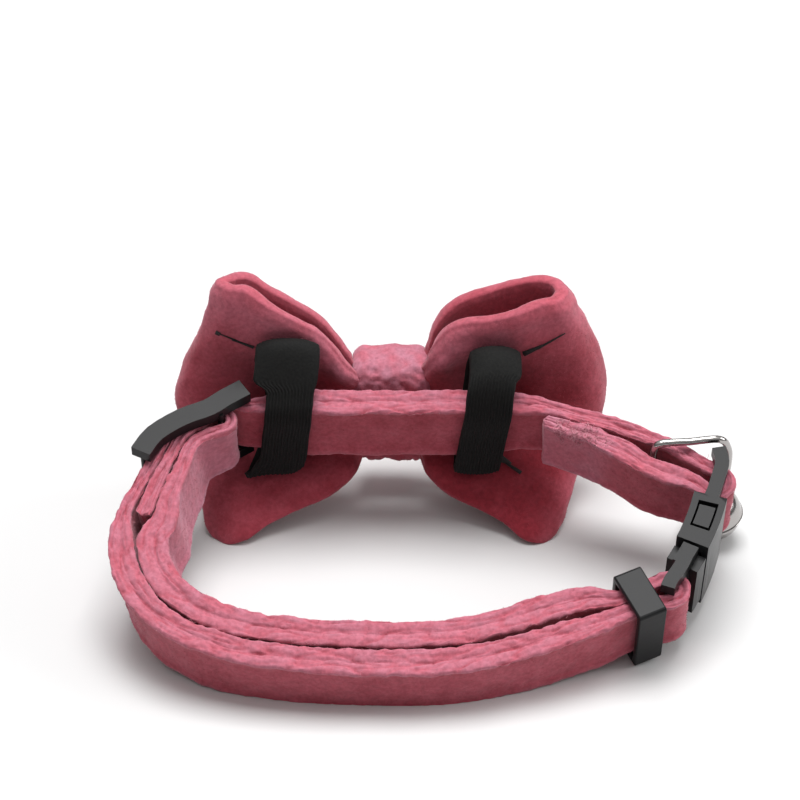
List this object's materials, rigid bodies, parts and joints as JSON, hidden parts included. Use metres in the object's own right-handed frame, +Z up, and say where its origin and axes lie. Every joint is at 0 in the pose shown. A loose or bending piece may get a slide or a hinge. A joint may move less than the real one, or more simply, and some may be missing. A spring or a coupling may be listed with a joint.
{
  "type": "pet bow tie collar",
  "caption": "Velvet cat collar, closed, with a padded bow tie held by elastic loops, side-release buckle, slider, D-ring and a small bell.",
  "frame": {"origin": "bottom centre of the collar's bounding box, on the table it rests on", "axes": "+X to the buckle's side, +Y from the low side of the loop towards the bow, +Z up"},
  "size_m": [0.0958, 0.0656, 0.0386],
  "materials": {
    "velvet": "dusty rose crushed velvet, soft pile",
    "elastic": "black ribbed woven elastic, matte",
    "plastic": "black moulded plastic, satin",
    "nickel": "polished nickel plate"
  },
  "bodies": {
    "root": {"strap": "velvet", "bow": "velvet", "bow_knot": "velvet", "elastic_loop_left": "elastic", "elastic_loop_right": "elastic", "slider": "plastic", "keeper_loop": "plastic", "buckle_female": "plastic", "buckle_male": "plastic", "d_ring": "nickel", "bell": "nickel"}
  },
  "joints": []
}
